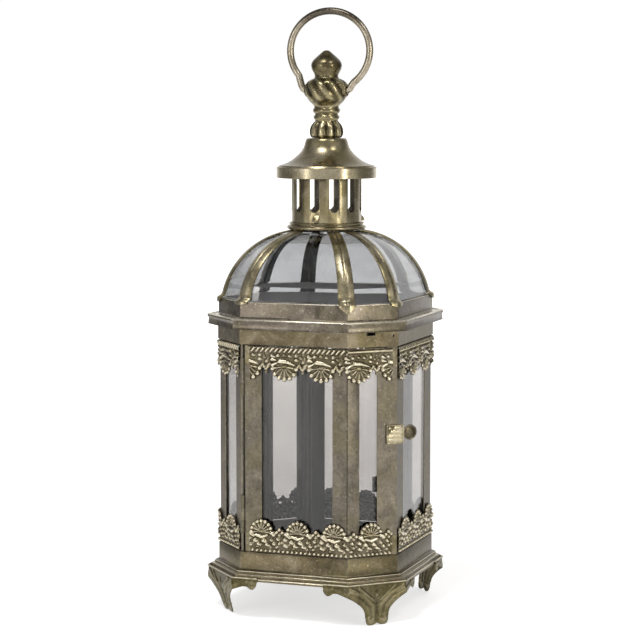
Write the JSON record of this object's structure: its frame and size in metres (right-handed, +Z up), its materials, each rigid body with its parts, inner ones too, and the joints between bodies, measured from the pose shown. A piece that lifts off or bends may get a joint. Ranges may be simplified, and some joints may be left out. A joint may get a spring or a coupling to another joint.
{
  "type": "candle lantern",
  "caption": "Octagonal glazed tin lantern on stamped feet, with a hinged door that wraps one corner, a glass dome, a slotted chimney under a bell cap, and a ring handle on a finial.",
  "frame": {"origin": "on the ground under the middle of the lantern, at the lowest point of the feet", "axes": "+Z up along the lantern's axis, -Y out of the wide face of the door, +X to the right seen from the front"},
  "size_m": [0.1549, 0.1518, 0.4296],
  "materials": {
    "antique_brass": "antique brass leaf over tinplate, rubbed, satin",
    "pale_brass": "antique brass leaf over tinplate, polished on its high spots",
    "dark_brass": "darkened antique brass, satin",
    "window_glass": "clear sheet glass"
  },
  "bodies": {
    "body": {"base_pan": "antique_brass", "foot_front_right": "antique_brass", "foot_back_right": "antique_brass", "foot_back_left": "antique_brass", "foot_front_left": "antique_brass", "post_hinge": "antique_brass", "post_latch": "antique_brass", "post_right_back": "antique_brass", "post_back_right": "antique_brass", "post_back_left": "antique_brass", "post_left_back": "antique_brass", "post_left_front": "antique_brass", "fascia_band": "antique_brass", "top_flange": "antique_brass", "chimney": "antique_brass", "finial": "antique_brass", "dome_rib_1": "antique_brass", "dome_rib_2": "antique_brass", "dome_rib_3": "antique_brass", "dome_rib_4": "antique_brass", "dome_rib_5": "antique_brass", "dome_rib_6": "antique_brass", "dome_rib_7": "antique_brass", "dome_rib_8": "antique_brass", "body_upper_lace": "pale_brass", "body_lower_lace": "pale_brass", "crown_ring": "pale_brass", "cap": "pale_brass", "floor_plate": "dark_brass", "hinge_upper": "dark_brass", "hinge_lower": "dark_brass", "finial_stud": "dark_brass", "pane_right": "window_glass", "pane_back_right": "window_glass", "pane_back": "window_glass", "pane_back_left": "window_glass", "pane_left": "window_glass", "pane_front_left": "window_glass", "dome_pane_front": "window_glass", "dome_pane_front_right": "window_glass", "dome_pane_right": "window_glass", "dome_pane_back_right": "window_glass", "dome_pane_back": "window_glass", "dome_pane_back_left": "window_glass", "dome_pane_left": "window_glass", "dome_pane_front_left": "window_glass"},
    "door": {"door_hinge_stile": "antique_brass", "door_latch_stile": "antique_brass", "door_corner_stile": "antique_brass", "door_top_rail": "antique_brass", "door_bottom_rail": "antique_brass", "door_front_pane": "window_glass", "door_side_pane": "window_glass", "door_upper_lace": "pale_brass", "door_lower_lace": "pale_brass", "door_pull": "pale_brass", "door_clip_upper": "dark_brass", "door_clip_lower": "dark_brass"},
    "ring": {"ring_handle": "pale_brass"}
  },
  "joints": [
    {"name": "door_hinge", "type": "hinge", "parent": "body", "child": "door", "pos_m": [-0.0379, -0.0685, 0.12], "axis": [0, 0, -1], "range_deg": [0, 170]},
    {"name": "ring_swing", "type": "hinge", "parent": "body", "child": "ring", "pos_m": [0, 0, 0.37096], "axis": [1, 0, 0], "range_deg": [-145, 145]}
  ]
}
